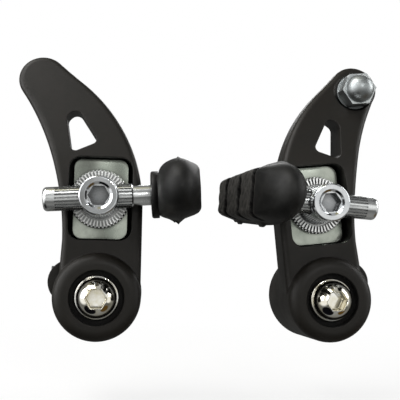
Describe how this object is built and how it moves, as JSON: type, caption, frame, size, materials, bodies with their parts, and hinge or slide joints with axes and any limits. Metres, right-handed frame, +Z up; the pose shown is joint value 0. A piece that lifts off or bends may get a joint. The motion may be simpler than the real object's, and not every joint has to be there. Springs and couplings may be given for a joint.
{
  "type": "cantilever rim brake",
  "caption": "Cantilever rim brake: raked moulded arms on bolted pivots, each with a grooved pad on a splined post in an eyebolt clamp; a hook and an anchor bolt take the cable.",
  "frame": {"origin": "midway between the two pivots, in the plane of the boss shoulders that the arms back on", "axes": "+Z up the arms, +X to the right of someone facing the brake, front faces -Y, +Y along the pivots towards the frame"},
  "size_m": [0.1071, 0.0584, 0.0832],
  "materials": {
    "arm_nylon": "matt black glass-filled nylon",
    "pad_rubber": "worn black rubber",
    "zinc_plate": "satin zinc plating",
    "bright_zinc": "bright zinc plating",
    "chrome_bolt": "mirror chrome",
    "satin_zinc": "satin zinc plating",
    "sleeve_steel": "ground steel",
    "spring_steel": "drawn wire",
    "cover_nylon": "black nylon"
  },
  "bodies": {
    "pivots": {"left_pivot_sleeve": "sleeve_steel", "left_pivot_bolt": "chrome_bolt", "right_pivot_sleeve": "sleeve_steel", "right_pivot_bolt": "chrome_bolt"},
    "left_arm": {"left_arm": "arm_nylon", "left_slot_plate": "zinc_plate", "left_return_spring": "spring_steel", "left_spring_cover": "cover_nylon", "left_spring_screw": "bright_zinc"},
    "left_clamp": {"left_toe_washer": "bright_zinc", "left_rear_washer": "bright_zinc"},
    "left_eyebolt": {"left_eyebolt": "bright_zinc", "left_clamp_nut": "bright_zinc"},
    "left_shoe": {"left_pad_post": "bright_zinc", "left_brake_pad": "pad_rubber"},
    "right_arm": {"right_arm": "arm_nylon", "right_slot_plate": "zinc_plate", "right_return_spring": "spring_steel", "right_spring_cover": "cover_nylon", "right_spring_screw": "bright_zinc", "right_anchor_bolt": "satin_zinc", "right_anchor_washer": "satin_zinc", "right_acorn_nut": "satin_zinc"},
    "right_clamp": {"right_toe_washer": "bright_zinc", "right_rear_washer": "bright_zinc"},
    "right_eyebolt": {"right_eyebolt": "bright_zinc", "right_clamp_nut": "bright_zinc"},
    "right_shoe": {"right_pad_post": "bright_zinc", "right_brake_pad": "pad_rubber"}
  },
  "joints": [
    {"name": "left_arm_pivot", "type": "hinge", "parent": "pivots", "child": "left_arm", "pos_m": [-0.03265, 0, 0], "axis": [0, 1, 0], "range_deg": [-25, 3], "stiffness_Nm_per_rad": 0.8},
    {"name": "left_clamp_slide", "type": "slide", "parent": "left_arm", "child": "left_clamp", "axis": [0, 0, 1], "range_m": [-0.0028, 0.0028]},
    {"name": "left_eyebolt_turn", "type": "hinge", "parent": "left_clamp", "child": "left_eyebolt", "pos_m": [-0.03265, 0, 0.027], "axis": [0, -1, 0], "range_deg": [-6, 6]},
    {"name": "left_shoe_slide", "type": "slide", "parent": "left_eyebolt", "child": "left_shoe", "axis": [0.9976, 0, 0.0698], "range_m": [-0.001, 0.001]},
    {"name": "right_arm_pivot", "type": "hinge", "parent": "pivots", "child": "right_arm", "pos_m": [0.03265, 0, 0], "axis": [0, -1, 0], "range_deg": [-25, 3], "stiffness_Nm_per_rad": 0.8},
    {"name": "right_clamp_slide", "type": "slide", "parent": "right_arm", "child": "right_clamp", "axis": [-0.1097, 0, 0.994], "range_m": [-0.0028, 0.0028]},
    {"name": "right_eyebolt_turn", "type": "hinge", "parent": "right_clamp", "child": "right_eyebolt", "pos_m": [0.02969, 0, 0.02684], "axis": [0, -1, 0], "range_deg": [-6, 6]},
    {"name": "right_shoe_slide", "type": "slide", "parent": "right_eyebolt", "child": "right_shoe", "axis": [-0.9976, 0, 0.0698], "range_m": [-0.001, 0.001]}
  ]
}
